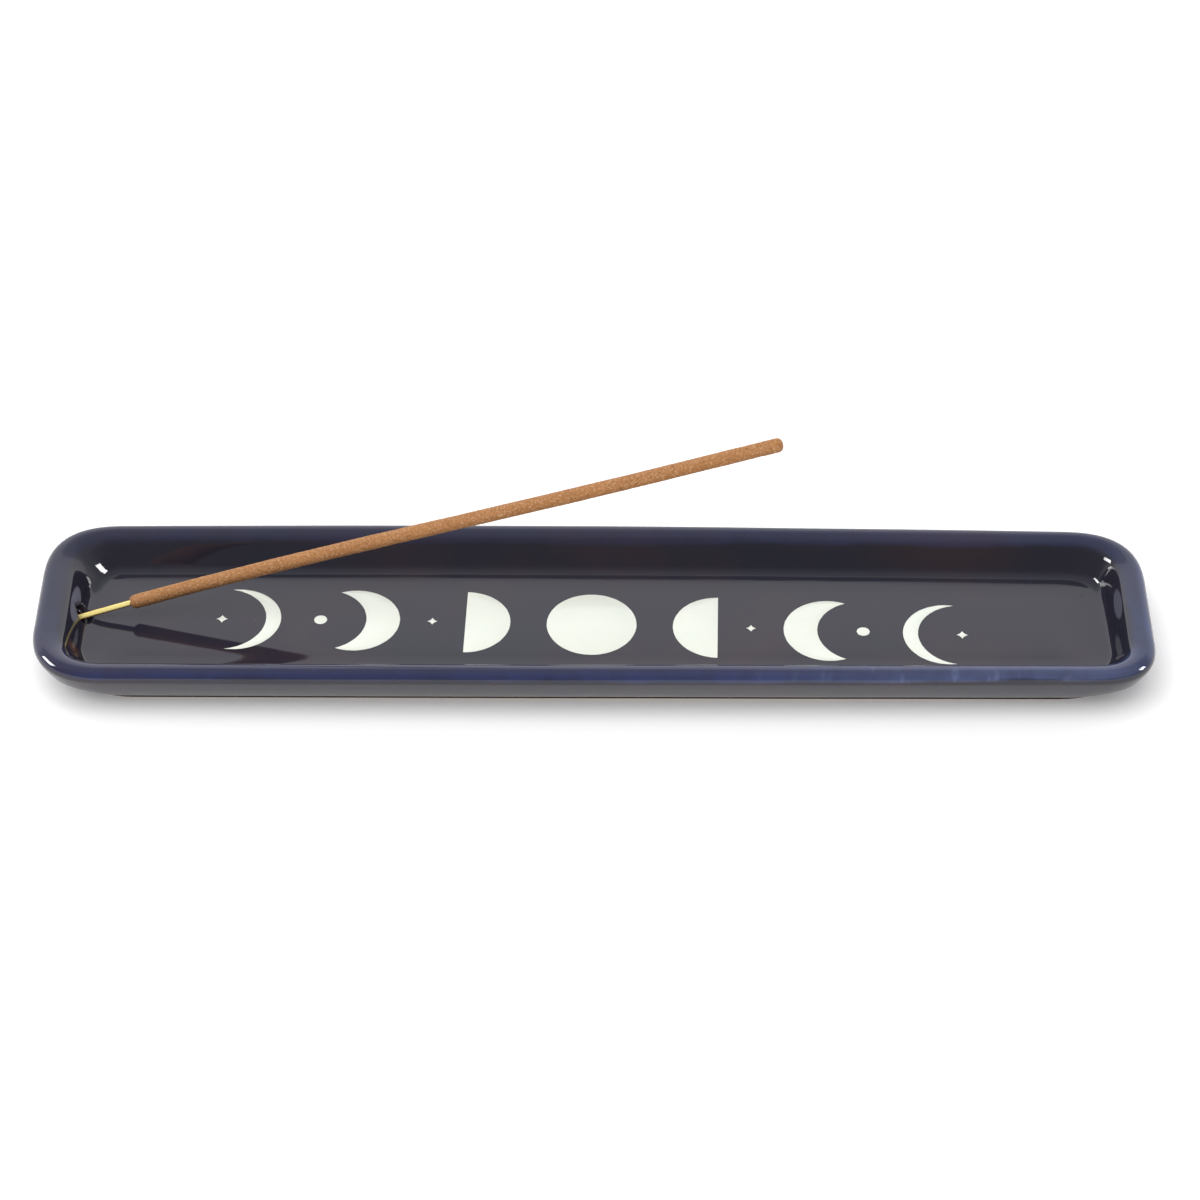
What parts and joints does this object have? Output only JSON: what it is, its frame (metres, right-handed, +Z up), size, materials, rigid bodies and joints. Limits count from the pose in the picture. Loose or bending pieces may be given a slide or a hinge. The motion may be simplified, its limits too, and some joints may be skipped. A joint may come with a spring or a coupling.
{
  "type": "incense burner",
  "caption": "Long glazed ceramic incense burner: a shallow ash trough with rolled rim and moon-phase motifs, and an incense stick leaning from an end hole.",
  "frame": {"origin": "on the table under the middle of the tray's foot", "axes": "+X along the tray, away from the stick hole; +Z up; +Y across the tray"},
  "size_m": [0.25, 0.0524, 0.0574],
  "materials": {
    "bare_clay": "unglazed fired stoneware, matte",
    "navy_glaze": "glossy near-black navy glaze that breaks to cobalt blue where it thins over the rim",
    "white_transfer": "glossy white in-glaze transfer",
    "bamboo": "dyed yellow split bamboo, fibrous",
    "incense_paste": "rough matte rolled wood-powder paste"
  },
  "bodies": {
    "tray": {"clay_body": "bare_clay", "glaze_coat": "navy_glaze", "full_moon": "white_transfer", "half_moon_left": "white_transfer", "diamond_left": "white_transfer", "thick_crescent_left": "white_transfer", "dot_left": "white_transfer", "thin_crescent_left": "white_transfer", "star_left": "white_transfer", "half_moon_right": "white_transfer", "diamond_right": "white_transfer", "thick_crescent_right": "white_transfer", "dot_right": "white_transfer", "thin_crescent_right": "white_transfer", "star_right": "white_transfer"},
    "stick": {"bamboo_core": "bamboo", "incense_paste": "incense_paste"}
  },
  "joints": [
    {"name": "stick_pull", "type": "slide", "parent": "tray", "child": "stick", "axis": [0.9516, 0, 0.3074], "range_m": [0, 0.03]}
  ]
}
